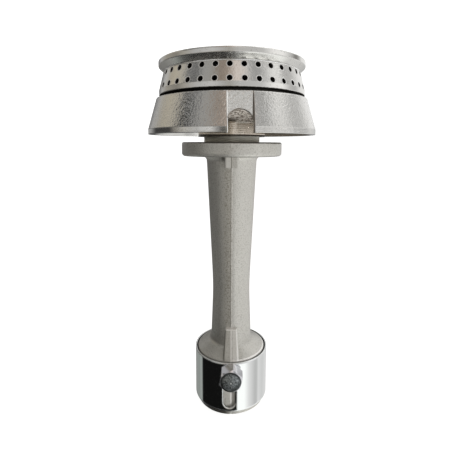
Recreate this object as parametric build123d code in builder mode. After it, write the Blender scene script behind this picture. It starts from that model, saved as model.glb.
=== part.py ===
from build123d import *

import os
from math import cos, radians, sin, sqrt

# Catering gas burner: a cast venturi with an air sleeve round its foot and a burner head on its spigot.
# The origin is the middle of the foot. The front, with the lock screw and the pilot notch, faces -Y.

# Venturi casting: foot, yoke and bell
bell_radius = 25.6
foot_height = 11.1
foot_round = 0.6
foot_recess_radius = 12.5
foot_recess_depth = 5.5
leg_width = 13.0
leg_thickness = 5.6
window_height = 23.5
bell_edge_height = 6.3
bell_edge_round = 1.2
bell_roof_rise = 5.7
bell_roof_fillet = 4.0
bell_mouth_rise = 15.5
rib_rise = 20.4
rib_top_width = 8.4
rib_foot_width = 10.8
rib_top_proud = 2.2
rib_foot_inset = 0.6
rib_round = 1.0

# Venturi casting: tube, flange and spigot
tube_low_radius = 15.4
throat_height = 88.4
throat_radius = 13.8
throat_blend = 220.0
tube_top_radius = 18.6
tube_wall = 3.85
tube_crease = 1.0
flash_width = 0.7
flash_proud = 0.25
flange_height = 187.3
flange_radius = 36.5
flange_thickness = 9.9
flange_low_round = 2.2
flange_top_round = 1.2
flange_fillet = 4.0
flange_hole_radius = 2.75
flange_hole_circle = 31.5
lug_width = 9.6
lug_drop = 7.7
lug_proud = 4.4
lug_round = 1.2
spigot_radius = 20.3
spigot_length = 15.9
spigot_wall = 4.7
spigot_chamfer = 0.8

# Air sleeve and its lock screw
sleeve_turn = -2.5
sleeve_radius = 27.5
sleeve_wall = 1.0
sleeve_bottom = 3.8
sleeve_height = 36.9
sleeve_round = 0.3
slot_width = 8.8
slot_low_margin = 2.5
slot_top_margin = 3.0
screw_radius = 3.0
screw_play = 0.05
screw_tip_reach = 1.5
screw_tip_chamfer = 0.6
screw_head_across_flats = 15.0
screw_head_face_radius = 6.8
screw_head_thickness = 9.1
screw_head_bevel = 1.8
screw_head_dome = 0.9
screw_head_turn = 18.6
washer_radius = 7.4
washer_thickness = 1.2
washer_play = 0.2
clamp_gap = 0.05

# Gas jet and its holder
inlet_radius = 5.9
inlet_depth = 10.0
holder_radius = 8.0
holder_play = 0.2
holder_hex_across_flats = 19.0
holder_hex_height = 5.0
holder_stub = 8.5
holder_passage_radius = 3.0
holder_nut_across_flats = 22.0
holder_nut_height = 5.0
holder_washer_radius = 13.0
holder_washer_thickness = 1.2
jet_socket_depth = 5.5
jet_thread_radius = 5.0
jet_play = 0.05
jet_hex_across_flats = 11.0
jet_hex_height = 4.0
jet_body_radius = 4.2
jet_body_height = 3.5
jet_tip_radius = 2.0
jet_tip_height = 3.0
jet_bore_radius = 2.6
jet_orifice_radius = 0.85
jet_orifice_length = 2.0

# Burner cup
cup_turn = 5.4
skirt_radius = 60.0
skirt_lip_height = 3.5
skirt_height = 24.8
skirt_top_radius = 53.9
skirt_wall = 3.6
skirt_edge_round = 0.8
hub_radius = 24.5
hub_depth = 11.9
hub_play = 0.3
hub_ledge = 1.5
hub_machined_height = 9.5
skirt_drop = 10.6
bowl_throat_radius = 15.6
bowl_throat_rise = 2.5
cup_underside_rise = 8.9
ledge_rise = 10.0
ledge_width = 6.8
mouth_radius = 46.3
notch_width = 15.7
notch_face_radius = 53.7
notch_wall = 3.2
arch_spring_rise = 8.0
arch_rise = 5.9

# Crown ring, cap and locating pins
crown_play = 0.3
crown_gap = 2.0
crown_radius = 52.0
crown_band_height = 3.4
crown_height = 15.85
crown_top_radius = 48.8
crown_wall = 3.4
crown_floor = 2.4
crown_edge_round = 0.4
lip_width = 5.5
port_radius = 1.7
port_count = 36
port_turn = -1.6
port_low_rise = 5.25
port_row_gap = 8.6
pin_count = 3
pin_turn = 65.0
pin_radius = 1.5
pin_depth = 4.0
pin_height = 3.0
pin_play = 0.2
pin_press_play = 0.02
cap_radius = 52.1
cap_neck_inset = 0.5
cap_neck_height = 0.75
cap_chamfer_height = 3.2
cap_rim_height = 3.5
cap_rim_round = 0.7
cap_land_width = 6.0
cap_dish_depth = 1.6
cap_dish_slope = 4.0
cap_plate = 4.2
cap_seat_width = 6.4
cap_tab_count = 3
cap_tab_width = 4.0
cap_tab_thickness = 3.0
cap_tab_depth = 4.0
cap_play = 0.4

# Heights that follow from the sizes above
window_top = foot_height + window_height
bell_edge_top = window_top + bell_edge_height
roof_top = bell_edge_top + bell_roof_rise
mouth_top = window_top + bell_mouth_rise
rib_top = bell_edge_top + rib_rise
slot_bottom = sleeve_bottom + slot_low_margin
slot_top = sleeve_bottom + sleeve_height - slot_top_margin
screw_height = slot_top - slot_width / 2
flange_top = flange_height + flange_thickness
seat_height = flange_top + spigot_length
skirt_bottom = seat_height - skirt_drop
skirt_top = skirt_bottom + skirt_height
ledge_height = seat_height + ledge_rise
crown_bottom = skirt_top + crown_gap
crown_top = crown_bottom + crown_height
chamber_radius = bell_radius - leg_thickness


def outwards(turn):
    """Level direction away from the axis, turned from the front towards +X."""
    return Vector(sin(radians(turn)), -cos(radians(turn)), 0)


def facing(turn, reach, height):
    """Upright plane that looks outwards at a distance from the axis."""
    origin = outwards(turn) * reach + Vector(0, 0, height)
    return Plane(origin=origin, x_dir=outwards(turn + 90), z_dir=outwards(turn))


def tube_radius(height):
    """Outside radius of the tube below its throat, on a straight taper."""
    share = (height - roof_top) / (throat_height - roof_top)
    return tube_low_radius + (throat_radius - tube_low_radius) * share


# Stiffening rib between the bell and the tube, widening downwards
rib_front_top = tube_radius(rib_top) + tube_crease + rib_top_proud
rib_front_foot = bell_radius - rib_foot_inset
with BuildPart() as rib:
    with BuildSketch(Plane.YZ):
        Polygon(
            (0, rib_top),
            (-rib_front_top, rib_top),
            (-rib_front_foot, bell_edge_top),
            (-rib_front_foot, window_top),
            (0, window_top),
            align=None,
        )
    extrude(amount=rib_foot_width, both=True)
    with BuildSketch(Plane.XZ):
        with BuildLine():
            Polyline(
                (rib_foot_width / 2, window_top),
                (rib_foot_width / 2, bell_edge_top),
                (rib_top_width / 2, rib_top),
                (-rib_top_width / 2, rib_top),
                (-rib_foot_width / 2, bell_edge_top),
                (-rib_foot_width / 2, window_top),
                close=True,
            )
        make_face()
    extrude(amount=bell_radius, both=True, mode=Mode.INTERSECT)
    rib_front = rib.faces().filter_by(lambda face: face.normal_at().Y < -0.5).sort_by(SortBy.AREA)
    rib_corners = rib_front[-1].edges().filter_by(lambda edge: abs(edge.tangent_at(0.5).Z) > 0.5)
    fillet(rib_corners, rib_round)

# Venturi body
with BuildPart() as venturi_body:
    # One mould half of the tube turns about an axis past the parting plane, so the halves meet at a crease
    with BuildSketch(Plane.XZ):
        with BuildLine():
            side = FilletPolyline(
                (tube_radius(bell_edge_top), bell_edge_top),
                (throat_radius, throat_height),
                (tube_top_radius, flange_height),
                (tube_top_radius + 2 * flange_fillet, flange_height),
                radius=[throat_blend, flange_fillet],
            )
            Polyline(
                side @ 1,
                (tube_top_radius + 2 * flange_fillet, flange_top),
                (-tube_crease, flange_top),
                (-tube_crease, bell_edge_top),
                side @ 0,
            )
        make_face()
    revolve(axis=Axis((-tube_crease, 0, 0), (0, 0, 1)))
    split(bisect_by=Plane.YZ, keep=Keep.TOP)
    mirror(about=Plane.YZ)
    # Thin flash left by the mould along the parting line, front and back
    flash_reach = tube_crease + flash_proud
    with BuildSketch(Plane.YZ):
        with BuildLine():
            edge = FilletPolyline(
                (tube_radius(bell_edge_top) + flash_reach, bell_edge_top),
                (throat_radius + flash_reach, throat_height),
                (tube_top_radius + flash_reach, flange_height),
                radius=throat_blend,
            )
            Polyline(edge @ 1, (0, flange_height), (0, bell_edge_top), edge @ 0)
        make_face()
        mirror(about=Plane.YZ)
    extrude(amount=flash_width / 2, both=True)
    # Foot, yoke and bell
    with BuildSketch(Plane.XZ):
        with BuildLine():
            roof_end = roof_top + 2 * bell_roof_fillet
            outside = FilletPolyline(
                (0, 0),
                (bell_radius, 0),
                (bell_radius, bell_edge_top),
                (tube_low_radius, roof_top),
                (tube_radius(roof_end), roof_end),
                radius=[foot_round, bell_edge_round, bell_roof_fillet],
            )
            Polyline(outside @ 1, (0, roof_end), outside @ 0)
        make_face()
    revolve(axis=Axis.Z)
    add(rib.part)
    mirror(rib.part, about=Plane.XZ)
    # Flange and the spigot for the burner cup
    with BuildSketch(Plane.XZ):
        with BuildLine():
            flange_edge = FilletPolyline(
                (0, flange_height),
                (flange_radius, flange_height),
                (flange_radius, flange_top),
                (spigot_radius, flange_top),
                radius=[flange_low_round, flange_top_round],
            )
            Polyline(
                flange_edge @ 1,
                (spigot_radius, seat_height - spigot_chamfer),
                (spigot_radius - spigot_chamfer, seat_height),
                (0, seat_height),
                flange_edge @ 0,
            )
        make_face()
    revolve(axis=Axis.Z)
    # Lug under the flange at the front
    lug_reach = tube_top_radius + tube_crease + lug_proud
    with BuildSketch(Plane.XY.offset(flange_height - lug_drop)):
        with Locations((0, -lug_reach / 2)):
            RectangleRounded(lug_width, lug_reach, lug_round)
    extrude(amount=lug_drop + flange_low_round)
    # Bell mouth, throat and diffuser, open from the yoke to the top of the spigot
    with BuildSketch(Plane.XZ):
        with BuildLine():
            bore = FilletPolyline(
                (tube_radius(mouth_top) - tube_wall, mouth_top),
                (throat_radius - tube_wall, throat_height),
                (tube_top_radius - tube_wall, flange_height),
                radius=throat_blend,
            )
            mouth = TangentArc(bore @ 0, (chamber_radius, window_top), tangent=-(bore % 0))
            Polyline(
                bore @ 1,
                (spigot_radius - spigot_wall, seat_height),
                (0, seat_height),
                (0, window_top),
                mouth @ 1,
            )
        make_face()
    revolve(axis=Axis.Z, mode=Mode.SUBTRACT)
    # Air windows left and right of the two legs
    with BuildSketch(Plane.XY.offset(foot_height)):
        Circle(2 * bell_radius)
        Rectangle(leg_width, 5 * bell_radius, mode=Mode.SUBTRACT)
        Circle(chamber_radius)
    extrude(amount=window_height, mode=Mode.SUBTRACT)
    # Recess and hole for the jet holder
    with BuildSketch(Plane.XY):
        Circle(foot_recess_radius)
    extrude(amount=foot_recess_depth, mode=Mode.SUBTRACT)
    with BuildSketch(Plane.XY):
        Circle(holder_radius + holder_play)
    extrude(amount=foot_height, mode=Mode.SUBTRACT)
    # Threaded hole for the lock screw through the front leg
    with BuildSketch(facing(0, chamber_radius - 2 * screw_radius, screw_height)):
        Circle(screw_radius + screw_play)
    extrude(amount=bell_radius, mode=Mode.SUBTRACT)
    # Fixing holes in the flange
    with BuildSketch(Plane.XY.offset(flange_height)):
        with PolarLocations(flange_hole_circle, 2):
            Circle(flange_hole_radius)
    extrude(amount=flange_thickness, mode=Mode.SUBTRACT)
venturi_body.part.label = "venturi_body"

# Air sleeve
with BuildPart() as air_sleeve:
    with BuildSketch(Plane.XY.offset(sleeve_bottom)):
        Circle(sleeve_radius)
        Circle(sleeve_radius - sleeve_wall, mode=Mode.SUBTRACT)
    extrude(amount=sleeve_height)
    fillet(air_sleeve.edges().filter_by(GeomType.CIRCLE), sleeve_round)
    with BuildSketch(facing(sleeve_turn, 0, (slot_bottom + slot_top) / 2)):
        SlotOverall(slot_top - slot_bottom, slot_width, rotation=90)
    extrude(amount=2 * sleeve_radius, mode=Mode.SUBTRACT)
air_sleeve.part.label = "air_sleeve"

# Washer and hexagon-headed screw that clamp the sleeve
washer_back = sleeve_radius + clamp_gap
head_back = washer_back + washer_thickness
head_front = head_back + screw_head_thickness
head_corner = screw_head_across_flats / sqrt(3)
screw_tip = chamber_radius - screw_tip_reach

with BuildPart() as lock_washer:
    with BuildSketch(facing(0, washer_back, screw_height)):
        Circle(washer_radius)
        Circle(screw_radius + washer_play, mode=Mode.SUBTRACT)
    extrude(amount=washer_thickness)
lock_washer.part.label = "lock_washer"

with BuildPart() as lock_screw:
    with BuildSketch(Plane.YZ):
        with BuildLine():
            stem = Polyline(
                (-screw_tip, screw_height),
                (-screw_tip, screw_height + screw_radius - screw_tip_chamfer),
                (-screw_tip - screw_tip_chamfer, screw_height + screw_radius),
                (-head_back, screw_height + screw_radius),
                (-head_back, screw_height + head_corner),
                (-head_front + screw_head_bevel, screw_height + head_corner),
                (-head_front, screw_height + screw_head_face_radius),
            )
            face_arc = TangentArc(
                (-head_front - screw_head_dome, screw_height),
                stem @ 1,
                tangent=(0, 1),
            )
            Line(face_arc @ 0, stem @ 0)
        make_face()
    revolve(axis=Axis((0, 0, screw_height), (0, 1, 0)))
    with BuildSketch(facing(0, 0, screw_height)):
        RegularPolygon(screw_head_across_flats / 2, 6, major_radius=False, rotation=screw_head_turn)
    extrude(amount=2 * head_front, mode=Mode.INTERSECT)
lock_screw.part.label = "lock_screw"

# Jet holder, clamped in the foot by its nut
holder_bottom = foot_recess_depth - holder_hex_height
holder_top = foot_height + holder_stub
socket_bottom = holder_top - jet_socket_depth
with BuildPart() as jet_holder:
    with BuildSketch(Plane.XY.offset(holder_bottom)):
        RegularPolygon(holder_hex_across_flats / 2, 6, major_radius=False)
    extrude(amount=holder_hex_height)
    with BuildSketch(Plane.XY.offset(foot_recess_depth)):
        Circle(holder_radius)
    extrude(amount=holder_top - foot_recess_depth)
    with BuildSketch(Plane.XY.offset(holder_bottom)):
        Circle(inlet_radius)
    extrude(amount=inlet_depth, mode=Mode.SUBTRACT)
    with BuildSketch(Plane.XY.offset(holder_bottom)):
        Circle(holder_passage_radius)
    extrude(amount=holder_top - holder_bottom, mode=Mode.SUBTRACT)
    with BuildSketch(Plane.XY.offset(socket_bottom)):
        Circle(jet_thread_radius + jet_play)
    extrude(amount=jet_socket_depth, mode=Mode.SUBTRACT)
jet_holder.part.label = "jet_holder"

with BuildPart() as jet_holder_washer:
    with BuildSketch(Plane.XY.offset(foot_height)):
        Circle(holder_washer_radius)
        Circle(holder_radius + holder_play, mode=Mode.SUBTRACT)
    extrude(amount=holder_washer_thickness)
jet_holder_washer.part.label = "jet_holder_washer"

# Hexagon nut on the holder, its corners bevelled at both ends
holder_nut_corner = holder_nut_across_flats / sqrt(3)
holder_nut_seat = Plane.XY.offset(foot_height + holder_washer_thickness)
with BuildPart() as jet_holder_nut:
    with BuildSketch(holder_nut_seat):
        Circle(holder_nut_corner)
    extrude(amount=holder_nut_height)
    nut_rims = jet_holder_nut.edges().filter_by(GeomType.CIRCLE)
    chamfer(nut_rims, holder_nut_corner - holder_nut_across_flats / 2)
    with BuildSketch(holder_nut_seat):
        RegularPolygon(holder_nut_across_flats / 2, 6, major_radius=False)
    extrude(amount=holder_nut_height, mode=Mode.INTERSECT)
    with BuildSketch(holder_nut_seat):
        Circle(holder_radius + jet_play)
    extrude(amount=holder_nut_height, mode=Mode.SUBTRACT)
jet_holder_nut.part.label = "jet_holder_nut"

# Gas jet: threaded stem in the holder, hexagon on its top face, and a tip with the orifice
jet_body_bottom = holder_top + jet_hex_height
jet_tip_bottom = jet_body_bottom + jet_body_height
jet_top = jet_tip_bottom + jet_tip_height
jet_stem_bottom = socket_bottom + jet_play
with BuildPart() as gas_jet:
    with BuildSketch(Plane.XZ):
        Polygon(
            (0, jet_stem_bottom),
            (jet_thread_radius, jet_stem_bottom),
            (jet_thread_radius, holder_top),
            (jet_body_radius, holder_top),
            (jet_body_radius, jet_tip_bottom),
            (jet_tip_radius, jet_top),
            (0, jet_top),
            align=None,
        )
    revolve(axis=Axis.Z)
    with BuildSketch(Plane.XY.offset(holder_top)):
        RegularPolygon(jet_hex_across_flats / 2, 6, major_radius=False)
    extrude(amount=jet_hex_height)
    bore_top = jet_top - jet_orifice_length
    with BuildSketch(Plane.XZ):
        Polygon(
            (0, jet_stem_bottom),
            (jet_bore_radius, jet_stem_bottom),
            (jet_bore_radius, jet_body_bottom),
            (jet_orifice_radius, bore_top),
            (jet_orifice_radius, jet_top),
            (0, jet_top),
            align=None,
        )
    revolve(axis=Axis.Z, mode=Mode.SUBTRACT)
gas_jet.part.label = "gas_jet"

# Hollow under the burner cup, between the hub and the skirt, less the pad behind the pilot notch
hub_bottom = seat_height - hub_depth
hub_ledge_height = hub_bottom + hub_machined_height
skirt_slope = (skirt_radius - skirt_top_radius) / (skirt_height - skirt_lip_height)
hollow_top = hub_ledge_height + cup_underside_rise
hollow_top_radius = skirt_radius - skirt_wall - skirt_slope * (hollow_top - skirt_bottom - skirt_lip_height)
notch_pad_face = notch_face_radius - notch_wall
with BuildPart() as under_hollow:
    with BuildSketch(Plane.XZ):
        Polygon(
            (hub_radius, hub_bottom - hub_depth),
            (hub_radius, hub_ledge_height),
            (hub_radius + hub_ledge, hub_ledge_height),
            (hollow_top_radius, hollow_top),
            (skirt_radius - skirt_wall, skirt_bottom + skirt_lip_height),
            (skirt_radius - skirt_wall, hub_bottom - hub_depth),
            align=None,
        )
    revolve(axis=Axis.Z)
    with BuildSketch(facing(cup_turn, notch_pad_face, skirt_bottom)):
        Rectangle(notch_width + 2 * notch_wall, 4 * skirt_height)
    extrude(amount=skirt_radius, mode=Mode.SUBTRACT)

# Burner cup
with BuildPart() as burner_cup:
    with BuildSketch(Plane.XZ):
        with BuildLine():
            skirt_line = FilletPolyline(
                (skirt_radius, skirt_bottom + skirt_lip_height),
                (skirt_top_radius, skirt_top),
                (mouth_radius, skirt_top),
                radius=skirt_edge_round,
            )
            Polyline(
                skirt_line @ 1,
                (mouth_radius, ledge_height),
                (mouth_radius - ledge_width, ledge_height),
                (bowl_throat_radius, seat_height + bowl_throat_rise),
                (bowl_throat_radius, seat_height),
                (spigot_radius + hub_play, seat_height),
                (spigot_radius + hub_play, hub_bottom),
                (hub_radius, hub_bottom),
                (hub_radius, skirt_bottom),
                (skirt_radius, skirt_bottom),
                skirt_line @ 0,
            )
        make_face()
    revolve(axis=Axis.Z)
    add(under_hollow.part, mode=Mode.SUBTRACT)
    # Pilot notch: a flat let into the skirt, and an arched window through its wall
    with BuildSketch(facing(cup_turn, notch_face_radius, skirt_bottom)):
        Rectangle(notch_width, 4 * skirt_height)
    extrude(amount=skirt_radius, mode=Mode.SUBTRACT)
    with BuildSketch(facing(cup_turn, notch_pad_face - notch_wall, skirt_bottom)):
        with BuildLine():
            arch = ThreePointArc(
                (notch_width / 2, arch_spring_rise),
                (0, arch_spring_rise + arch_rise),
                (-notch_width / 2, arch_spring_rise),
            )
            Polyline(
                arch @ 1,
                (-notch_width / 2, -skirt_height),
                (notch_width / 2, -skirt_height),
                arch @ 0,
            )
        make_face()
    extrude(amount=3 * notch_wall, mode=Mode.SUBTRACT)
    # Blind holes for the locating pins
    pin_circle = mouth_radius - crown_play - lip_width / 2
    with BuildSketch(Plane.XY.offset(ledge_height)):
        with PolarLocations(pin_circle, pin_count, start_angle=pin_turn):
            Circle(pin_radius + pin_press_play)
    extrude(amount=-pin_depth, mode=Mode.SUBTRACT)
burner_cup.part.label = "burner_cup"

with BuildPart() as locating_pins:
    with BuildSketch(Plane.XY.offset(ledge_height - pin_depth)):
        with PolarLocations(pin_circle, pin_count, start_angle=pin_turn):
            Circle(pin_radius)
    extrude(amount=pin_depth + pin_height)
locating_pins.part.label = "locating_pins"

# Crown ring: it stands on the cup's ledge by its lip, and two rows of level ports go through its sloping wall
lip_radius = mouth_radius - crown_play
cone_bottom = crown_bottom + crown_band_height
cone_height = crown_height - crown_band_height
cone_slope = (crown_radius - crown_top_radius) / cone_height
wall_across = crown_wall * sqrt(1 + cone_slope**2)
lip_inside = lip_radius - lip_width
port_step = 360 / port_count
ports = []
for rise in (port_low_rise, port_low_rise + port_row_gap):
    for step in range(port_count):
        ports.append(facing(port_turn + step * port_step, lip_inside, crown_bottom + rise))

with BuildPart() as crown_ring:
    with BuildSketch(Plane.XZ):
        with BuildLine():
            crown_edge = FilletPolyline(
                (lip_radius, crown_bottom),
                (crown_radius, crown_bottom),
                (crown_radius, cone_bottom),
                radius=crown_edge_round,
            )
            Polyline(
                crown_edge @ 1,
                (crown_top_radius, crown_top),
                (crown_top_radius - wall_across, crown_top),
                (crown_radius - wall_across, cone_bottom),
                (crown_radius - wall_across, crown_bottom + crown_floor),
                (lip_inside, crown_bottom + crown_floor),
                (lip_inside, ledge_height),
                (lip_radius, ledge_height),
                crown_edge @ 0,
            )
        make_face()
    revolve(axis=Axis.Z)
    with BuildSketch(*ports):
        Circle(port_radius)
    extrude(amount=crown_radius, mode=Mode.SUBTRACT)
    with BuildSketch(Plane.XY.offset(ledge_height)):
        with PolarLocations(pin_circle, pin_count, start_angle=pin_turn):
            Circle(pin_radius + pin_play)
    extrude(amount=pin_height + pin_play, mode=Mode.SUBTRACT)
crown_ring.part.label = "crown_ring"

# Crown cap: neck, chamfer and rim outside, a dished top, and tabs between the ports that centre it in the crown
neck_radius = crown_top_radius - cap_neck_inset
chamfer_bottom = crown_top + cap_neck_height
rim_bottom = chamfer_bottom + cap_chamfer_height
cap_top = rim_bottom + cap_rim_height
dish_floor = cap_top - cap_dish_depth
seat_inside = neck_radius - cap_seat_width
tab_radius = crown_top_radius - wall_across - cap_play - cap_tab_thickness / 2
tab_turn = port_turn + port_step / 2 - 90
with BuildPart() as crown_cap:
    with BuildSketch(Plane.XZ):
        with BuildLine():
            rim = FilletPolyline(
                (neck_radius, chamfer_bottom),
                (cap_radius, rim_bottom),
                (cap_radius, cap_top),
                (cap_radius - cap_land_width, cap_top),
                radius=[cap_rim_round, cap_rim_round],
            )
            Polyline(
                rim @ 1,
                (cap_radius - cap_land_width - cap_dish_slope, dish_floor),
                (0, dish_floor),
                (0, dish_floor - cap_plate),
                (seat_inside, dish_floor - cap_plate),
                (seat_inside, crown_top),
                (neck_radius, crown_top),
                rim @ 0,
            )
        make_face()
    revolve(axis=Axis.Z)
    with BuildSketch(Plane.XY.offset(crown_top - cap_tab_depth)):
        with PolarLocations(tab_radius, cap_tab_count, start_angle=tab_turn):
            Rectangle(cap_tab_thickness, cap_tab_width)
    extrude(amount=cap_tab_depth + cap_neck_height)
crown_cap.part.label = "crown_cap"

os.makedirs("parts", exist_ok=True)
export_step(venturi_body.part, "parts/venturi_body.step")
export_step(air_sleeve.part, "parts/air_sleeve.step")
export_step(lock_washer.part, "parts/lock_washer.step")
export_step(lock_screw.part, "parts/lock_screw.step")
export_step(jet_holder.part, "parts/jet_holder.step")
export_step(jet_holder_washer.part, "parts/jet_holder_washer.step")
export_step(jet_holder_nut.part, "parts/jet_holder_nut.step")
export_step(gas_jet.part, "parts/gas_jet.step")
export_step(burner_cup.part, "parts/burner_cup.step")
export_step(locating_pins.part, "parts/locating_pins.step")
export_step(crown_ring.part, "parts/crown_ring.step")
export_step(crown_cap.part, "parts/crown_cap.step")
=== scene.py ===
"""Looks of the catering gas burner: metals with wear and painted light on the CAD nodes, a pale floor, a
studio and the camera.
"""

import math

import bmesh
import bpy
from mathutils import Matrix, Vector


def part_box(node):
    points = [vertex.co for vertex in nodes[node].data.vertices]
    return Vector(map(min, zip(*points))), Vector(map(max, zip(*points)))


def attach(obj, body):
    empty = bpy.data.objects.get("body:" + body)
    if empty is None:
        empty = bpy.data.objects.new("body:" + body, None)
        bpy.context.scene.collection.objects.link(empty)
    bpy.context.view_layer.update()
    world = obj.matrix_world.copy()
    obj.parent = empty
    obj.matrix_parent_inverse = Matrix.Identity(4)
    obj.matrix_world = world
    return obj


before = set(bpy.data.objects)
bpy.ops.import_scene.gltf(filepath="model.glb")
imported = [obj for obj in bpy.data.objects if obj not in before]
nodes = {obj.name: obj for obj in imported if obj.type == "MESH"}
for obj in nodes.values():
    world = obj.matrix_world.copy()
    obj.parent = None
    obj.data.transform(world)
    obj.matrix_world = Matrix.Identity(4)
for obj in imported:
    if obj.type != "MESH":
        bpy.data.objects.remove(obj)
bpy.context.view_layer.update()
MM = 0.001

# The crown's outside, in millimetres: how far the feet of its band and of its cone lie below its top, and
# how far the cone leans in
BAND_DROP = 15.85
CONE_DROP = 12.45
CONE_INSET = 3.2

# The flame ports: the rows' heights above the band's foot in millimetres, and where the first port stands
PORT_ROWS = (5.25, 13.85)
PORTS_IN_ROW = 36
FIRST_PORT_DEGREES = -1.6

# The pilot notch is turned a little to the right of the front
NOTCH_TURN = math.radians(5.4)

# Colours that are used more than once
ZINC_DARK = (0.72, 0.715, 0.75)
ZINC_LIGHT = (0.84, 0.835, 0.86)
# Bright casting: a bare seam, and painted highlights on the rib and the roof
CAST_RUB_AND_HIGHLIGHT = (1.0, 0.98, 0.94)
# Bright plate: painted highlights on the cap's neck and the notch's left edge
PLATE_HIGHLIGHT = (1.0, 0.99, 0.97)

# The sockets of a Mix node for its two values and its result, by the kind of value
MIX_SOCKETS = {"FLOAT": (2, 3, 0), "VECTOR": (4, 5, 1), "RGBA": (6, 7, 2)}


class Tree:
    """Short calls for building the nodes of a material or of the world."""

    def __init__(self, owner):
        owner.use_nodes = True
        self.tree = owner.node_tree
        self.tree.nodes.clear()

    def put(self, socket, value):
        """Links another node to a socket, or sets its value; a colour may leave out its alpha."""
        if isinstance(value, bpy.types.NodeSocket):
            self.tree.links.new(value, socket)
        elif socket.type == "RGBA" and len(value) == 3:
            socket.default_value = (*value, 1.0)
        else:
            socket.default_value = value

    def add(self, kind, inputs=None, **settings):
        node = self.tree.nodes.new("ShaderNode" + kind)
        for key, value in settings.items():
            setattr(node, key, value)
        for key, value in (inputs or {}).items():
            self.put(node.inputs[key], value)
        return node

    def show(self, shader, kind="OutputMaterial"):
        self.add(kind, {"Surface": shader.outputs[0]})

    def math(self, operation, *values):
        node = self.add("Math", operation=operation)
        for socket, value in zip(node.inputs, values):
            self.put(socket, value)
        return node.outputs[0]

    def plus(self, first, second):
        return self.math("ADD", first, second)

    def minus(self, first, second):
        return self.math("SUBTRACT", first, second)

    def times(self, first, second):
        return self.math("MULTIPLY", first, second)

    def unsigned(self, value):
        """The value without its sign."""
        return self.math("ABSOLUTE", value)

    def step(self, value, low, high):
        """0 below low, 1 above high, smooth between them; low may be the larger."""
        node = self.add("MapRange", {"Value": value}, interpolation_type="SMOOTHSTEP")
        flip = low > high
        self.put(node.inputs["From Min"], min(low, high))
        self.put(node.inputs["From Max"], max(low, high))
        self.put(node.inputs["To Min"], 1.0 if flip else 0.0)
        self.put(node.inputs["To Max"], 0.0 if flip else 1.0)
        return node.outputs[0]

    def scale(self, value, low, high):
        """A value from 0 to 1 spread from low to high."""
        node = self.add("MapRange", {"Value": value, "To Min": low, "To Max": high})
        return node.outputs[0]

    def between(self, kind, share, first, second):
        """A value of some kind that lies a share of the way from the first to the second."""
        first_socket, second_socket, result = MIX_SOCKETS[kind]
        node = self.add("Mix", {0: share}, data_type=kind)
        self.put(node.inputs[first_socket], first)
        self.put(node.inputs[second_socket], second)
        return node.outputs[result]

    def mix(self, share, first, second):
        """A colour between two."""
        return self.between("RGBA", share, first, second)

    def blend(self, share, first, second):
        """A number between two."""
        return self.between("FLOAT", share, first, second)

    def ramp(self, value, stops):
        """The colours that a value from 0 to 1 passes through."""
        node = self.add("ValToRGB", {"Fac": value})
        elements = node.color_ramp.elements
        elements.remove(elements[1])
        for count, (place, colour) in enumerate(stops):
            element = elements[0] if count == 0 else elements.new(place)
            element.position = place
            element.color = (*colour, 1.0)
        return node.outputs["Color"]


class Metal(Tree):
    """A metal under construction, with the place on its own node at hand. Its lengths are in millimetres."""

    def __init__(self, name):
        self.material = bpy.data.materials.new(name)
        super().__init__(self.material)
        metres = self.add("TexCoord").outputs["Object"]
        self.place = self.add("VectorMath", {0: metres, "Scale": 1 / MM}, operation="SCALE").outputs[0]
        self.x, self.y, self.z = self.add("SeparateXYZ", {"Vector": self.place}).outputs
        self.radius = self.length(self.x, self.y)
        self.metallic = 1.0
        self.edge = None

    def length(self, first, second):
        return self.math("SQRT", self.plus(self.times(first, first), self.times(second, second)))

    def normal(self):
        return self.add("SeparateXYZ", {"Vector": self.add("NewGeometry").outputs["Normal"]}).outputs

    def outward(self):
        """How far the surface looks away from the axis: 1 straight out, -1 straight in."""
        nx, ny = self.normal()[:2]
        reach = self.plus(self.times(self.x, nx), self.times(self.y, ny))
        return self.math("DIVIDE", reach, self.radius)

    def upward(self):
        """How far the surface looks up: 1 straight up, -1 straight down."""
        return self.normal()[2]

    def noise(self, size, detail=3.0, rough=0.55):
        """Noise whose lumps are about as large as size."""
        inputs = {"Vector": self.place, "Scale": 1 / size, "Detail": detail, "Roughness": rough}
        return self.add("TexNoise", inputs).outputs["Fac"]

    def wave(self, value, pitch):
        return self.math("SINE", self.times(value, 2 * math.pi / pitch))

    def both(self, *masks):
        """Where all of the masks hold."""
        result = masks[0]
        for mask in masks[1:]:
            result = self.times(result, mask)
        return result

    def either(self, *masks):
        """Where any of the masks holds."""
        result = masks[0]
        for mask in masks[1:]:
            result = self.math("MAXIMUM", result, mask)
        return result

    def span(self, value, begin, full, fade, end):
        """Where a value lies in a span: it comes in from begin to full and goes out from fade to end."""
        return self.both(self.step(value, begin, full), self.step(value, end, fade))

    def paint(self, tone, mask, colour, share=1.0):
        """A tone with a share of a colour laid over it where the mask holds."""
        if share < 1:
            mask = self.times(mask, share)
        return self.mix(mask, tone, colour)

    def turn(self, share, first, second):
        """A direction between two."""
        middle = self.between("VECTOR", share, first, second)
        return self.add("VectorMath", {0: middle}, operation="NORMALIZE").outputs[0]

    def round_edges(self, reach, samples=4):
        """Sharp edges catch the light as if they were rounded."""
        self.edge = self.add("Bevel", {"Radius": reach * MM}, samples=samples).outputs[0]

    def finish(self, colour, roughness, height, strength, depth):
        """Joins the looks in one shader, with the height as a bump of the given depth."""
        bump = self.add("Bump", {"Height": height, "Strength": strength, "Distance": depth * MM})
        if self.edge:
            self.put(bump.inputs["Normal"], self.edge)
        inputs = {
            "Base Color": colour,
            "Metallic": self.metallic,
            "Roughness": roughness,
            "Normal": bump.outputs[0],
        }
        self.show(self.add("BsdfPrincipled", inputs))
        return self.material


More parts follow.
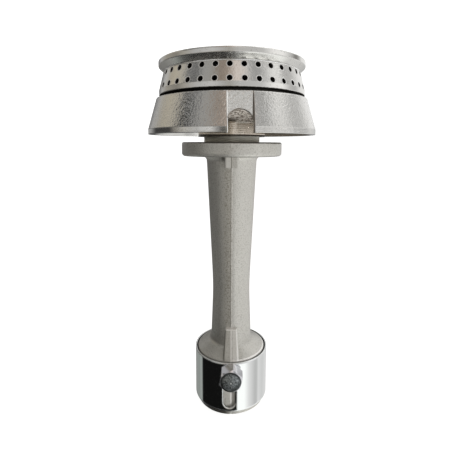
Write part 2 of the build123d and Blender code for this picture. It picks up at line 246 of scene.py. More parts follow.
def rib_seam_and_painted_light(m, tone):
    """The rib and its roof: a bare bright seam, painted light and highlights at the right and top, painted
    shade at the left.
    """
    bottom = 40.9
    rise = 20.4
    half_at_bottom = 5.1
    taper = 0.6
    climb = m.minus(m.z, bottom)
    half = m.minus(half_at_bottom, m.times(climb, taper / rise))
    within = m.minus(half, m.unsigned(m.x))
    right_gap = m.unsigned(m.minus(m.x, half))
    left_gap = m.unsigned(m.plus(m.x, m.plus(half, 0.3)))
    on_rib = m.both(m.span(climb, -0.2, 0.2, rise - 0.6, rise), m.step(m.y, -15, -17))
    on_face = m.both(on_rib, m.step(within, -0.3, 0.1))
    left_half = m.both(on_face, m.step(m.x, 0.3, -1.5))
    right_half = m.both(on_face, m.step(m.x, 0.6, 1.8))
    roof_left = m.both(m.span(m.z, 39.5, 40.5, 48, 58), m.step(m.x, 2, -6))
    # Painted shade on the rib's left half and on the roof left of it
    shaded = m.either(m.times(left_half, 0.3), m.times(roof_left, 0.22))
    tone = m.paint(tone, shaded, (0.34, 0.32, 0.27))
    # Painted light on the rib's right half, a painted highlight along its right edge and painted shade along
    # its left edge
    tone = m.paint(tone, right_half, (0.97, 0.95, 0.9), 0.45)
    painted_edge_highlight = m.both(on_rib, m.step(right_gap, 0.8, 0.3))
    tone = m.paint(tone, painted_edge_highlight, (0.97, 0.95, 0.91), 0.8)
    painted_edge_shade = m.both(on_rib, m.step(left_gap, 0.8, 0.3))
    tone = m.paint(tone, painted_edge_shade, (0.2, 0.19, 0.165), 0.6)
    # Painted highlights on the rib's top and on the roof's rim at the right, over a bare bright seam
    head = m.both(m.span(climb, rise - 0.9, rise - 0.5, rise + 0.3, rise + 0.6), m.step(within, -0.5, 0.0))
    head = m.both(head, m.step(m.y, -15, -16))
    seam = m.both(on_rib, m.step(m.unsigned(m.x), 0.45, 0.15))
    roof_rim = m.both(m.span(m.z, 39.2, 39.6, 41.5, 42), m.step(m.radius, 24.2, 24.7), m.step(m.x, -2, 6))
    bright = m.either(m.times(head, 0.9), m.times(seam, 0.7), roof_rim)
    return m.paint(tone, bright, CAST_RUB_AND_HIGHLIGHT)


def tube_marks_and_painted_light(m, tone, flange_bottom, flange_top):
    """The mould's joint on the lug, the pits beside the seam, painted light on the lug's left half, and
    painted shade by the lug and along the flange's edges.
    """
    lug = m.span(m.z, flange_bottom - 9, flange_bottom - 8.5, flange_bottom - 0.2, flange_bottom + 0.2)
    lug = m.both(lug, m.step(m.y, -20.5, -21.5))
    # Painted light on the lug's left half
    lug_left = m.both(lug, m.step(m.x, 0.0, -0.6))
    tone = m.paint(tone, lug_left, (0.95, 0.93, 0.89), 0.35)
    lug_joint = m.both(lug, m.step(m.unsigned(m.x), 0.55, 0.25))
    tone = m.paint(tone, lug_joint, (0.2, 0.18, 0.145), 0.7)
    pits = m.both(m.step(m.noise(1.1, detail=2.0), 0.53, 0.62), m.step(m.unsigned(m.plus(m.x, 2.2)), 4, 1.5))
    pits = m.both(pits, m.span(m.z, 62, 66, flange_bottom - 9, flange_bottom - 8))
    tone = m.paint(tone, pits, (0.3, 0.27, 0.21), 0.6)
    # Painted shadow in the corner left of the lug, under the flange
    corner = m.span(m.z, flange_bottom - 4.5, flange_bottom - 2, flange_bottom - 0.2, flange_bottom + 0.2)
    corner = m.both(corner, m.span(m.x, -8, -6, -5, -4.5), m.step(m.y, -10, -12))
    tone = m.paint(tone, corner, (0.12, 0.11, 0.09), 0.6)
    # Painted shade along the flange's upper and lower edges
    outer = m.step(m.radius, 33, 34)
    upper_edge = m.both(outer, m.step(m.z, flange_top - 1.1, flange_top - 0.5))
    lower_edge = m.both(outer, m.step(m.z, flange_bottom + 0.9, flange_bottom + 0.3))
    dark_edge = m.either(m.times(upper_edge, 0.9), m.times(lower_edge, 0.6))
    return m.paint(tone, dark_edge, (0.07, 0.068, 0.06))


def cast_metal():
    """Blasted grey casting: fine grain, faint blotches, a bare bright seam and a turned spigot, with painted
    light and shade on the rib, tube and foot.
    """
    m = Metal("cast_metal")
    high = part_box("venturi_body")[1] / MM
    flange_top = high.z - 15.9
    flange_bottom = flange_top - 9.9
    yoke = m.span(m.z, 4.0, 4.6, 40.5, 41.5)
    m.metallic = m.blend(yoke, 0.65, 0.1)
    grain = m.noise(0.75, rough=0.6)
    lumps = m.noise(5)
    blotch = m.noise(22, detail=2.0)
    from_seam = m.unsigned(m.x)
    beads = m.step(m.noise(2.2), 0.42, 0.6)
    seam = m.both(m.step(from_seam, 0.9, 0.2), beads)
    tone = m.mix(m.scale(blotch, 0.2, 0.8), (0.62, 0.605, 0.56), (0.7, 0.685, 0.64))
    tone = m.paint(tone, m.step(grain, 0.55, 0.3), (0.46, 0.445, 0.4))
    tone = m.paint(tone, seam, (0.9, 0.88, 0.84), 0.45)
    leg_seam = m.both(yoke, m.step(from_seam, 0.7, 0.3))
    tone = m.paint(tone, leg_seam, CAST_RUB_AND_HIGHLIGHT, 0.85)
    tone = rib_seam_and_painted_light(m, tone)
    # Painted shade on the left of the foot
    foot_shade = m.both(m.step(m.z, 4.4, 3.7), m.step(m.x, 0.0, -5))
    tone = m.paint(tone, foot_shade, (0.07, 0.066, 0.055), 0.9)
    tone = tube_marks_and_painted_light(m, tone, flange_bottom, flange_top)
    height = m.plus(m.plus(grain, m.times(lumps, 0.8)), m.times(seam, 0.6))
    spigot = m.step(m.z, flange_top + 0.1, flange_top + 0.3)
    lines = m.wave(m.z, 1.1)
    turned = m.mix(m.scale(lines, 0.3, 0.6), (0.63, 0.615, 0.54), (0.78, 0.77, 0.69))
    tone = m.mix(spigot, tone, turned)
    height = m.blend(spigot, height, m.times(lines, 0.5))
    m.round_edges(0.8)
    # The seam on the tube is so low that it hardly turns the light
    tube = m.span(m.z, 64, 66, flange_bottom - 10, flange_bottom - 9)
    faint = m.times(m.both(tube, m.step(from_seam, 3, 1.5)), 0.8)
    away = m.add("CombineXYZ", {"X": m.x, "Y": m.y}).outputs[0]
    away = m.add("VectorMath", {0: away}, operation="NORMALIZE").outputs[0]
    m.edge = m.turn(faint, m.edge, away)
    return m.finish(tone, m.scale(grain, 0.26, 0.34), height, strength=0.55, depth=0.3)


def polished_chrome():
    """Bright chrome with a slight swell and faint smears, rounded by the polishing; dull inside, and painted
    nearly black there as shade.
    """
    m = Metal("bright_chrome")
    inside = m.step(m.outward(), -0.6, -0.9)
    smear = m.noise(9, detail=4.0)
    swell = m.noise(16, detail=1.0)
    tone = m.mix(smear, (0.86, 0.87, 0.86), (0.9, 0.91, 0.9))
    # Painted shade: the inside is nearly black
    tone = m.paint(tone, inside, (0.03, 0.03, 0.027))
    roughness = m.blend(inside, m.scale(m.step(smear, 0.45, 0.8), 0.03, 0.08), 0.6)
    m.round_edges(1.6, samples=8)
    return m.finish(tone, roughness, swell, strength=0.05, depth=0.2)


def satin_plate(name):
    """Plated casting: bright, with the sparkle of the cast skin under the plating."""
    m = Metal(name)
    grain = m.noise(1.4, detail=2.0, rough=0.6)
    lumps = m.noise(3.2, detail=2.0)
    blotch = m.noise(12, detail=2.0)
    tone = m.mix(blotch, (0.76, 0.745, 0.71), (0.83, 0.82, 0.79))
    tone = m.paint(tone, m.step(grain, 0.42, 0.26), (0.64, 0.625, 0.59))
    height = m.plus(grain, m.times(lumps, 0.5))
    m.round_edges(0.7, samples=6)
    return m, tone, m.scale(grain, 0.12, 0.2), height


def turned_bright(m, mask, roughness, height):
    """Where the mask holds, the skin is turned smooth, with only faint rings left."""
    rings = m.wave(m.plus(m.radius, m.z), 0.9)
    smooth = m.plus(m.times(height, 0.3), m.times(rings, 0.03))
    return m.blend(mask, roughness, m.times(roughness, 0.6)), m.blend(mask, height, smooth)


def burnt(m, mask, tone, roughness, height):
    """Darkens the insides, where heat and gas have left the bare casting almost black."""
    crust = m.noise(1.8, detail=4.0, rough=0.7)
    skin = m.mix(crust, (0.012, 0.011, 0.01), (0.05, 0.044, 0.037))
    m.metallic = m.blend(mask, 1.0, 0.15)
    tone = m.mix(mask, tone, skin)
    return tone, m.blend(mask, roughness, 0.75), m.blend(mask, height, m.times(crust, 3.0))


def soot_and_shade_reach(m, in_front):
    """How far sooty dark creeps over an edge, ragged all round; in front it reaches further as painted shade
    of the gap.
    """
    front = m.step(m.y, -22, -44)
    return m.minus(m.times(front, in_front), m.times(m.noise(2), 0.5))


def crown_plate():
    """The ring is plated outside and burnt dark inside, in its ports and under its band; in front, the dark
    under the band is painted shade of the gap.
    """
    m, tone, roughness, height = satin_plate("plated_crown")
    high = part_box("crown_ring")[1] / MM
    band_bottom = high.z - BAND_DROP
    cone_bottom = high.z - CONE_DROP
    taper = m.math("MAXIMUM", m.minus(m.z, cone_bottom), 0.0)
    wall = m.plus(m.radius, m.times(taper, CONE_INSET / CONE_DROP))
    ports = m.step(wall, high.x - 0.06, high.x - 0.16)
    # Darker further up under the band in front: painted shade of the gap
    sooty_and_shaded_level = m.minus(m.z, soot_and_shade_reach(m, 0.5))
    inside = m.either(ports, m.step(sooty_and_shaded_level, band_bottom + 0.25, band_bottom))
    band = m.step(m.z, cone_bottom + 0.2, cone_bottom - 0.1)
    roughness, height = turned_bright(m, band, roughness, height)
    tone, roughness, height = burnt(m, inside, tone, roughness, height)
    return m.finish(tone, roughness, height, strength=0.5, depth=0.18)


def cap_plate():
    """The cap is turned bright at its rim and chamfer, with a painted highlight on its neck and a darker
    patch on its rim at the right, and burnt dark underneath.
    """
    m, tone, roughness, height = satin_plate("plated_cap")
    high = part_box("crown_cap")[1] / MM
    neck_radius = 48.0
    upward = m.upward()
    inside = m.both(m.step(m.radius, neck_radius + 0.1, neck_radius - 0.1), m.step(upward, 0.3, 0.1))
    inside = m.both(inside, m.step(m.z, high.z - 2.0, high.z - 2.4))
    edge = m.step(m.radius, 45.6, 46.2)
    roughness, height = turned_bright(m, edge, roughness, height)
    chamfer = m.both(m.step(upward, -0.2, -0.4), m.step(m.radius, neck_radius, neck_radius + 0.4))
    roughness = m.blend(chamfer, roughness, 0.22)
    height = m.blend(chamfer, height, m.times(height, 0.25))
    # Painted highlight: a bright line on the neck just above the ring
    neck = m.both(m.step(m.z, high.z - 6.5, high.z - 6.75), m.step(m.radius, neck_radius, neck_radius + 0.2))
    tone = m.paint(tone, neck, PLATE_HIGHLIGHT)
    tone, roughness, height = burnt(m, inside, tone, roughness, height)
    rim = m.both(m.span(upward, -0.3, -0.1, 0.4, 0.6), m.step(m.radius, neck_radius + 0.4, neck_radius + 1))
    # A darker patch painted on the rim at the right
    darker_rim_patch = m.both(rim, m.span(m.x, 36, 40.5, 40.5, 45.5), m.step(m.y, 0.0, -2))
    tone = m.paint(tone, darker_rim_patch, (0.25, 0.235, 0.21), 0.75)
    dusty = m.both(chamfer, m.step(m.x, -33, -40))
    m.metallic = m.blend(dusty, m.metallic, 0.5)
    return m.finish(tone, roughness, height, strength=0.5, depth=0.18)


def cup_plate():
    """The cup: plated outside, raw beige casting with a turned hub underneath, and a burnt bowl."""
    m, tone, roughness, height = satin_plate("plated_cup")
    low, high = (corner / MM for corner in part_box("burner_cup"))
    hub_bottom = low.z
    lip_top = hub_bottom + 4.8
    hub_top = hub_bottom + 9.5
    bowl_bottom = hub_bottom + 14.6
    hollow_top = hub_bottom + 18.4
    outward = m.outward()
    upward = m.upward()
    lip = m.step(m.z, lip_top + 0.2, lip_top - 0.1)
    roughness, height = turned_bright(m, lip, roughness, height)
    smoother = m.both(lip, m.step(m.x, 0.0, -6))
    height = m.blend(smoother, height, m.times(height, 0.3))
    # The bowl and the top edge are sooty; in front, the dark on the top edge reaches further, as painted
    # shade of the gap
    bowl = m.both(m.step(m.radius, 52.6, 52.2), m.step(m.z, bowl_bottom, bowl_bottom + 0.2))
    bowl = m.both(bowl, m.either(m.step(upward, 0.2, 0.5), m.step(outward, 0.0, -0.2)))
    sooty_and_shaded_level = m.plus(m.z, soot_and_shade_reach(m, 0.3))
    bowl = m.either(bowl, m.step(sooty_and_shaded_level, high.z - 0.35, high.z - 0.1))
    tone, roughness, height = burnt(m, bowl, tone, roughness, height)
    # The hollow behind the lip is raw, but the walls of the pilot notch are plated
    forth = m.minus(m.times(m.x, math.sin(NOTCH_TURN)), m.times(m.y, math.cos(NOTCH_TURN)))
    aside = m.plus(m.times(m.x, math.cos(NOTCH_TURN)), m.times(m.y, math.sin(NOTCH_TURN)))
    inside = m.both(m.step(m.radius, 56.2, 56.0), m.step(m.z, hollow_top + 0.4, hollow_top))
    under = m.both(inside, m.either(m.step(outward, 0.1, -0.1), m.step(upward, -0.3, -0.6)))
    arch = m.both(m.step(forth, 50.2, 50.5), m.step(upward, -0.1, -0.4), m.step(m.z, lip_top, hub_top))
    under = m.either(m.both(under, m.step(forth, 50.8, 50.5)), arch)
    hub = m.both(m.step(m.radius, 27, 26.6), m.step(m.z, hub_top + 0.3, hub_top))
    raw = m.either(under, hub)
    rust = m.noise(1.5, detail=4.0, rough=0.75)
    skin = m.mix(m.step(rust, 0.36, 0.62), (0.17, 0.145, 0.118), (0.74, 0.69, 0.62))
    # The raw skin seen through the notch is painted paler: painted light, as if lit from below
    pale = m.mix(m.step(rust, 0.42, 0.55), (0.2, 0.155, 0.12), (1.0, 0.945, 0.87))
    behind_notch = m.both(m.step(forth, 20, 26), m.step(m.unsigned(m.x), 18, 14))
    skin = m.mix(behind_notch, skin, pale)
    # Painted shade on the underside of the arch
    skin = m.paint(skin, arch, (0.1, 0.088, 0.07))
    # Painted shade on the hub's right, under the notch's right wall
    shaded = m.both(m.step(m.x, 3.5, 1.5), m.step(m.radius, 33, 29))
    skin = m.paint(skin, shaded, (0.1, 0.082, 0.06), 0.8)
    lines = m.wave(m.z, 1.3)
    turned = m.mix(m.scale(lines, 0.4, 0.6), (0.83, 0.74, 0.62), (0.94, 0.86, 0.76))
    turned = m.paint(turned, m.step(rust, 0.5, 0.38), (0.52, 0.44, 0.35), 0.5)
    # Painted highlight along the top edge of the hub
    crest = m.both(m.step(m.z, hub_top - 1.0, hub_top - 0.7), m.step(m.x, 1.5, 3.5))
    turned = m.paint(turned, crest, (1.0, 0.96, 0.88))
    foot = m.step(m.z, hub_bottom + 1.5, hub_bottom + 1.1)
    turned = m.paint(turned, foot, (0.09, 0.08, 0.066))
    tone = m.mix(raw, tone, m.mix(hub, skin, turned))
    m.metallic = m.blend(raw, m.metallic, m.blend(hub, 0.1, 0.9))
    roughness = m.blend(raw, roughness, m.blend(hub, 0.65, 0.18))
    height = m.blend(under, height, m.times(rust, 3.0))
    height = m.blend(hub, height, m.times(lines, 0.15))
    # The notch's left edge carries a painted highlight; painted shade lies in its right corner and round the
    # arch
    let_in = m.step(forth, 53.2, 53.6)
    left_gap = m.unsigned(m.plus(aside, 7.9))
    right_gap = m.unsigned(m.minus(aside, 7.6))
    painted_edge_highlight = m.both(let_in, m.step(left_gap, 0.6, 0.3))
    arch_reach = m.length(aside, m.minus(m.z, hub_bottom + 7.03))
    arch_gap = m.unsigned(m.minus(arch_reach, 8.3))
    round_arch = m.both(m.step(arch_gap, 0.6, 0.25), m.step(aside, 3, -1))
    round_arch = m.both(round_arch, m.step(m.z, hub_top, hub_top + 0.5))
    painted_edge_shade = m.both(let_in, m.either(m.step(right_gap, 0.5, 0.25), round_arch))
    tone = m.paint(tone, painted_edge_highlight, PLATE_HIGHLIGHT)
    tone = m.paint(tone, painted_edge_shade, (0.16, 0.125, 0.095), 0.85)
    painted_light_marks = m.either(painted_edge_highlight, painted_edge_shade)
    m.metallic = m.blend(painted_light_marks, m.metallic, 0.15)
    roughness = m.blend(painted_light_marks, roughness, 0.5)
    # The lip's inner wall is plated too, rounded towards its bottom edge, and carries painted shade at the
    # right
    lip_wall = m.both(lip, m.step(m.radius, 57.2, 57.0), m.step(outward, -0.3, -0.7))
    painted_lip_shade = m.both(lip_wall, m.step(m.x, 10, 20))
    tone = m.paint(tone, painted_lip_shade, (0.3, 0.265, 0.22))
    m.metallic = m.blend(painted_lip_shade, m.metallic, 0.2)
    roughness = m.blend(painted_lip_shade, roughness, 0.55)
    m.edge = m.turn(m.times(lip_wall, 0.32), m.edge, (0.0, 0.0, -1.0))
    return m.finish(tone, roughness, height, strength=0.75, depth=0.3)


def zinc_plate():
    """Zinc plating with faint smears."""
    m = Metal("zinc_plate")
    smear = m.noise(1.5, detail=4.0, rough=0.65)
    tone = m.mix(smear, ZINC_DARK, ZINC_LIGHT)
    m.round_edges(0.2)
    return m.finish(tone, m.scale(smear, 0.1, 0.2), smear, strength=0.06, depth=0.06)


def screw_plate():
    """Zinc on the screw's flats and thread; its face is dull and turned in rings, with painted sheen on the
    rings, painted shade towards its rim and lower right, and a bright centre.
    """
    m = Metal("screw_plate")
    low, high = (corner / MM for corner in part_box("lock_screw"))
    thread_pitch = 1.0
    rise = m.minus(m.z, (low.z + high.z) / 2)
    reach = m.length(m.x, rise)
    face = m.both(m.step(m.y, low.y + 1.6, low.y + 1.4), m.step(reach, 7.3, 7.1))
    speck = m.noise(0.9, detail=4.0, rough=0.7)
    rings = m.wave(reach, 1.4)
    # Painted sheen on the turning rings
    painted_light_marks = m.both(m.step(rings, 0.0, 0.9), m.step(speck, 0.45, 0.62))
    painted_light_marks = m.either(painted_light_marks, m.step(reach, 0.8, 0.3))
    plate = m.mix(speck, ZINC_DARK, ZINC_LIGHT)
    dull = m.mix(m.step(speck, 0.3, 0.7), (0.045, 0.05, 0.052), (0.5, 0.54, 0.55))
    dull = m.paint(dull, painted_light_marks, (0.62, 0.66, 0.68), 0.85)
    # Painted shade towards the face's rim and its lower right
    shade = m.either(m.step(reach, 5.2, 6.6), m.step(m.minus(m.x, rise), 2, 8))
    dull = m.paint(dull, shade, (0.02, 0.022, 0.02), 0.8)
    dull = m.paint(dull, m.step(reach, 0.75, 0.35), (0.9, 0.93, 0.94))
    turn = m.math("ARCTAN2", m.x, rise)
    helix = m.plus(m.times(m.y, 2 * math.pi / thread_pitch), turn)
    thread = m.times(m.math("SINE", helix), 2.5)
    shank = m.both(m.step(reach, 3.3, 3.1), m.step(m.y, low.y + 9.8, low.y + 10.2))
    turned = m.plus(rings, m.times(speck, 2.0))
    height = m.blend(face, m.times(speck, 0.08), turned)
    height = m.blend(shank, height, thread)
    m.round_edges(0.2)
    roughness = m.blend(face, m.scale(speck, 0.08, 0.18), m.scale(speck, 0.3, 0.45))
    return m.finish(m.mix(face, plate, dull), roughness, height, strength=0.35, depth=0.08)


def bright_burr():
    """Clean metal that the drill has turned up round the ports."""
    m = Metal("bright_burr")
    grain = m.noise(0.6)
    tone = m.mix(grain, (0.84, 0.83, 0.8), (0.97, 0.965, 0.95))
    return m.finish(tone, m.scale(grain, 0.36, 0.5), grain, strength=0.2, depth=0.05)


def turned_brass():
    """Brass with fine lines from the lathe and patches of tarnish."""
    m = Metal("turned_brass")
    smear = m.noise(2, detail=4.0, rough=0.6)
    lines = m.wave(m.z, 0.8)
    tone = m.mix(smear, (0.58, 0.41, 0.17), (0.76, 0.58, 0.28))
    return m.finish(tone, m.scale(smear, 0.2, 0.42), lines, strength=0.15, depth=0.05)


def dress(material, *names):
    for name in names:
        node = nodes[name]
        node.data.materials.clear()
        node.data.materials.append(material)


dress(cast_metal(), "venturi_body")
dress(polished_chrome(), "air_sleeve")
dress(cup_plate(), "burner_cup")
dress(crown_plate(), "crown_ring")
dress(cap_plate(), "crown_cap")
dress(zinc_plate(), "lock_washer", "jet_holder_washer", "locating_pins")
dress(screw_plate(), "lock_screw")
dress(turned_brass(), "jet_holder", "jet_holder_nut", "gas_jet")


def add_object(name, data):
    thing = bpy.data.objects.new(name, data)
    bpy.context.scene.collection.objects.link(thing)
    return thing


def add_mesh(name, bm, material):
    mesh = bpy.data.meshes.new(name)
    bm.to_mesh(mesh)
    bm.free()
    mesh.materials.append(material)
    return add_object(name, mesh)


def burr_ring(bm, middle, side, up, normal, stretch):
    """One raised ring on the cone, by its radius and lift in millimetres from the outside in."""
    profile = ((2.25, -0.03), (2.1, 0.03), (1.85, 0.04), (1.72, 0.0), (1.7, -0.06))
    corners = 24
    loops = []
    for radius, lift in profile:
        loop = []
        for corner in range(corners):
            angle = 2 * math.pi * corner / corners
            across = side * math.cos(angle) * radius * MM
            along = up * math.sin(angle) * radius * MM * stretch
            loop.append(bm.verts.new(middle + across + along + normal * lift * MM))
        loops.append(loop)
    for outer, inner in zip(loops, loops[1:]):
        for corner in range(corners):
            after = (corner + 1) % corners
            face = bm.faces.new((outer[corner], outer[after], inner[after], inner[corner]))
            face.smooth = True


def port_edges():
    """Raised burrs round the flame ports, left by the drill."""
    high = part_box("crown_ring")[1]
    slope = math.atan(CONE_INSET / CONE_DROP)
    bm = bmesh.new()
    for row in PORT_ROWS:
        height = high.z + (row - BAND_DROP) * MM
        reach = high.x - (height - high.z + CONE_DROP * MM) * math.tan(slope)
        for count in range(PORTS_IN_ROW):
            turn = math.radians(FIRST_PORT_DEGREES + 360 / PORTS_IN_ROW * count)
            out = Vector((math.sin(turn), -math.cos(turn), 0))
            side = Vector((math.cos(turn), math.sin(turn), 0))
            normal = out * math.cos(slope) + Vector((0, 0, math.sin(slope)))
            up = normal.cross(side) * -1
            middle = out * reach + Vector((0, 0, height))
            burr_ring(bm, middle, side, up, normal, 1 / math.cos(slope))
    bmesh.ops.recalc_face_normals(bm, faces=bm.faces)
    edges = add_mesh("port_edges", bm, bright_burr())
    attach(edges, "crown")


port_edges()


def pale_floor():
    """White paper that glows a little."""
    material = bpy.data.materials.new("pale_floor")
    t = Tree(material)
    pale = t.add("BsdfDiffuse", {"Color": (0.5, 0.5, 0.498)})
    glow = t.add("Emission", {"Color": (1.0, 1.0, 0.995), "Strength": 0.9})
    t.show(t.add("AddShader", {0: pale.outputs[0], 1: glow.outputs[0]}))
    return material


def stage_bowl(floor_reach, wall_height, bend):
    """A floor that curves up into a wide bowl. Only the camera sees it, so it neither lights nor shades."""
    bend_steps = 12
    profile = [(0.0, 0.0), (floor_reach, 0.0)]
    for step in range(1, bend_steps + 1):
        turn = math.radians(90 * step / bend_steps)
        profile.append((floor_reach + bend * math.sin(turn), bend * (1 - math.cos(turn))))
    profile.append((floor_reach + bend, wall_height))
    bm = bmesh.new()
    line = [bm.verts.new((reach, 0, rise)) for reach, rise in profile]
    edges = [bm.edges.new(pair) for pair in zip(line, line[1:])]
    full = {"axis": (0, 0, 1), "cent": (0, 0, 0), "angle": 2 * math.pi, "steps": 96, "use_merge": True}
    bmesh.ops.spin(bm, geom=line + edges, **full)
    bmesh.ops.remove_doubles(bm, verts=bm.verts, dist=1e-5)
    bmesh.ops.recalc_face_normals(bm, faces=bm.faces)
    for face in bm.faces:
        face.smooth = True
    bowl = add_mesh("stage_bowl", bm, pale_floor())
    bowl.visible_glossy = False
    bowl.visible_diffuse = False
    bowl.visible_shadow = False


stage_bowl(floor_reach=2.2, wall_height=12.0, bend=0.8)


def grey(level, warm=0.0):
    """A level of grey; warm above 0 leans to beige."""
    return (level * (1 + 0.5 * warm), level, level * (1 - warm))


def studio():
    """What the metals mirror: rings of light and dark, one above the other.

    A ring gives colours by compass direction in degrees, 0 on the camera's side and negative to the left.
    """
    material = bpy.data.materials.new("studio")
    material.cycles.emission_sampling = "NONE"
    t = Tree(material)
    place = t.add("TexCoord").outputs["Object"]
    way = t.add("VectorMath", {0: place}, operation="NORMALIZE").outputs[0]
    x, y, z = t.add("SeparateXYZ", {"Vector": way}).outputs
    compass = t.math("ARCTAN2", x, t.times(y, -1.0))
    turn = t.plus(t.math("DIVIDE", compass, 2 * math.pi), 0.5)

    def ring(*stops):
        return t.ramp(turn, [(degrees / 360 + 0.5, colour) for degrees, colour in stops])

    black = grey(0.006)
    white = (1.1, 1.12, 1.11)
    green_grey = (0.33, 0.355, 0.34)
    under = ring(
        (-180, grey(0.25)), (-150, black), (12, black), (26, white), (130, white), (180, grey(0.25)),
    )
    lower = ring(
        (-180, grey(0.3)), (-150, grey(0.2)), (-114, grey(0.06)), (-60, grey(0.14)),
        (12, grey(0.2)), (26, white), (130, white), (180, grey(0.3)),
    )
    low = ring(
        (-180, grey(0.3)), (-122, (0.28, 0.3, 0.285)), (-114, green_grey), (-108, green_grey),
        (-102, black), (19, black), (22, white), (44, white), (60, grey(0.8)), (84, grey(0.54)),
        (92, grey(0.56)), (99, grey(0.75)), (120, grey(0.66)), (150, grey(0.74)), (180, grey(0.3)),
    )
    middle = ring(
        (-180, grey(0.1)), (-66, grey(0.1)), (-58, grey(0.25, 0.04)), (-17, grey(0.265, 0.14)),
        (-5, grey(0.33, 0.14)), (10, grey(0.57)), (24, grey(0.72)), (36, grey(0.79)), (75, grey(0.8)),
        (120, grey(0.78)), (150, grey(0.6)), (180, grey(0.1)),
    )
    level = ring(
        (-180, grey(0.4)), (-138, grey(0.38)), (-120, grey(0.05)), (-88, grey(0.05)),
        (-78, grey(0.28, 0.1)), (-64, grey(0.52, 0.06)), (-46, grey(0.54)), (-36, grey(0.68)),
        (-26, grey(0.74)), (-20, grey(0.4)), (-12, grey(0.05)), (-5, grey(0.05)), (2, grey(0.4)),
        (8, grey(1.3)), (13, grey(1.0)), (20, grey(0.52)), (40, grey(0.5)), (66, grey(0.61)),
        (82, grey(0.55)), (92, grey(0.46)), (114, grey(0.48)), (128, grey(0.78)), (180, grey(0.4)),
    )
    rim = ring(
        (-180, grey(0.2)), (-152, grey(0.2)), (-136, grey(0.46)), (-116, grey(0.33, 0.12)),
        (-90, grey(0.24, 0.1)), (-76, grey(0.38, 0.1)), (-54, grey(0.5)), (-28, grey(0.6)),
        (-16, grey(0.5)), (-4, grey(0.41, 0.05)), (10, grey(0.53)), (45, grey(0.61)), (63, grey(0.98)),
        (80, grey(1.02)), (97, grey(0.6)), (110, grey(0.5)), (128, grey(0.88)), (165, grey(0.95)),
        (180, grey(0.36)),
    )
    right_front = (
        (8, (0.72, 0.65, 0.61)), (20, (0.77, 0.72, 0.68)), (29, grey(0.56)), (36, grey(0.37)),
        (46, grey(0.37)), (55, grey(0.52)), (63, grey(0.72)), (70, grey(0.86)),
    )
    high = ring(
        (-180, grey(0.4)), (-150, grey(0.45)), (-136, grey(0.55)), (-120, grey(0.38, 0.16)),
        (-108, grey(0.45, 0.18)), (-87, grey(0.465, 0.12)), (-81, grey(0.12)), (-77, black), (-65, black),
        (-60, grey(0.14)), (-54, grey(0.3)), (-51, grey(0.34)), (-34, grey(0.35, 0.05)),
        (-21, (0.31, 0.255, 0.215)), (-8, (0.44, 0.37, 0.32)), *right_front, (79, grey(0.74)),
        (93, grey(0.47)), (113, grey(0.58)), (130, grey(0.85)), (165, grey(0.9)), (180, grey(0.4)),
    )
    steep = ring(
        (-180, grey(0.2)), (-118, grey(0.2)), (-104, grey(0.4, 0.1)), (-97, grey(0.46, 0.12)),
        (-90, grey(0.4, 0.06)), (-82, grey(0.36)), (-75, grey(0.28)), (-68, grey(0.2)), (-62, grey(0.15)),
        (-56, grey(0.26)), (-51, grey(0.35)), (-34, grey(0.34, 0.05)), (-21, (0.27, 0.225, 0.19)),
        (-9, (0.32, 0.27, 0.23)), *right_front, (90, grey(1.05)), (165, grey(1.05)), (180, grey(0.2)),
    )
    overhead = (0.7, 0.7, 0.69)
    # Where each ring takes over from the one below it, by the sine of the height
    above = (
        (-0.86, -0.8, lower),
        (-0.72, -0.64, low),
        (-0.52, -0.47, middle),
        (0.0, 0.03, level),
        (0.07, 0.12, rim),
        (0.26, 0.36, high),
        (0.518, 0.532, steep),
        (0.8, 0.95, overhead),
    )
    light = under
    for begin, full, colours in above:
        light = t.mix(t.step(z, begin, full), light, colours)
    t.show(t.add("Emission", {"Color": light, "Strength": 1.0}))
    return material


def studio_dome(reach):
    """The far dome that carries the studio. Only mirrored rays meet it, so it lights nothing else."""
    bm = bmesh.new()
    bmesh.ops.create_icosphere(bm, subdivisions=4, radius=reach)
    dome = add_mesh("studio_dome", bm, studio())
    dome.visible_camera = False
    dome.visible_diffuse = False
    dome.visible_shadow = False


studio_dome(reach=80.0)


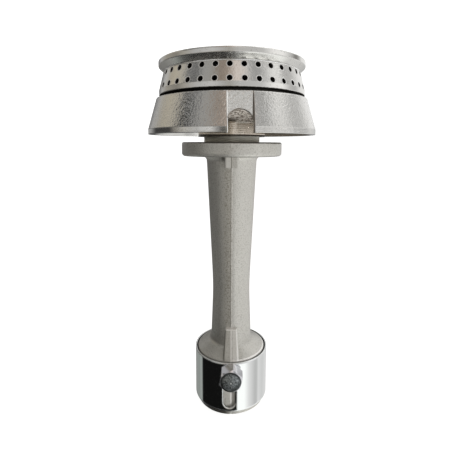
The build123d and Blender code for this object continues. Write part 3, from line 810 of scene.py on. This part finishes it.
def ambient():
    """Soft light for the dull surfaces: most from below, as off a white table, and least from the sides."""
    world = bpy.data.worlds.new("ambient")
    bpy.context.scene.world = world
    t = Tree(world)
    way = t.add("TexCoord").outputs["Generated"]
    height = t.add("SeparateXYZ", {"Vector": way}).outputs["Z"]
    below = (1.2, 1.18, 1.15)
    sides = (0.14, 0.14, 0.132)
    above = (0.4, 0.395, 0.38)
    light = t.mix(t.step(height, -0.8, -0.5), below, sides)
    light = t.mix(t.step(height, 0.1, 0.7), light, above)
    t.show(t.add("Background", {"Color": light, "Strength": 1.0}), "OutputWorld")


ambient()


def lamp(name, compass, climb, energy, softness):
    """A distant lamp for the dull surfaces alone, by compass direction, height and width in degrees."""
    light = bpy.data.lights.new(name, "SUN")
    light.energy = energy
    light.angle = math.radians(softness)
    turn = math.radians(compass)
    lift = math.radians(climb)
    source = Vector((math.sin(turn) * math.cos(lift), -math.cos(turn) * math.cos(lift), math.sin(lift)))
    holder = add_object(name, light)
    holder.matrix_world = source.to_track_quat("Z", "Y").to_matrix().to_4x4()
    holder.visible_glossy = False


# A low lamp at the right casts the shadows, and a weaker one stands behind
lamp("key", compass=55, climb=-7, energy=2.0, softness=16)
lamp("back_fill", compass=185, climb=20, energy=1.4, softness=20)

# Camera, fitted to the photograph: close in front, level with the flange and tipped down a little
PHOTO = 458
FOCAL_PIXELS = 362.1
AXIS_POINT = (231.6, 186.1)
CAMERA_PLACE = (0, -0.2692, 0.1954)
CAMERA_DIP = math.radians(6.5)
CAMERA_ROLL = math.radians(0.22)
camera_data = bpy.data.cameras.new("camera")
camera_data.sensor_width = 36.0
camera_data.lens = FOCAL_PIXELS * camera_data.sensor_width / PHOTO
camera_data.shift_x = (PHOTO / 2 - AXIS_POINT[0]) / PHOTO
camera_data.shift_y = (AXIS_POINT[1] - PHOTO / 2) / PHOTO
camera_data.clip_start = 0.01
camera = add_object("camera", camera_data)
tip = Matrix.Rotation(math.pi / 2 - CAMERA_DIP, 4, "X") @ Matrix.Rotation(CAMERA_ROLL, 4, "Z")
camera.matrix_world = Matrix.Translation(CAMERA_PLACE) @ tip
bpy.context.scene.camera = camera
bpy.context.scene.view_settings.view_transform = "Standard"
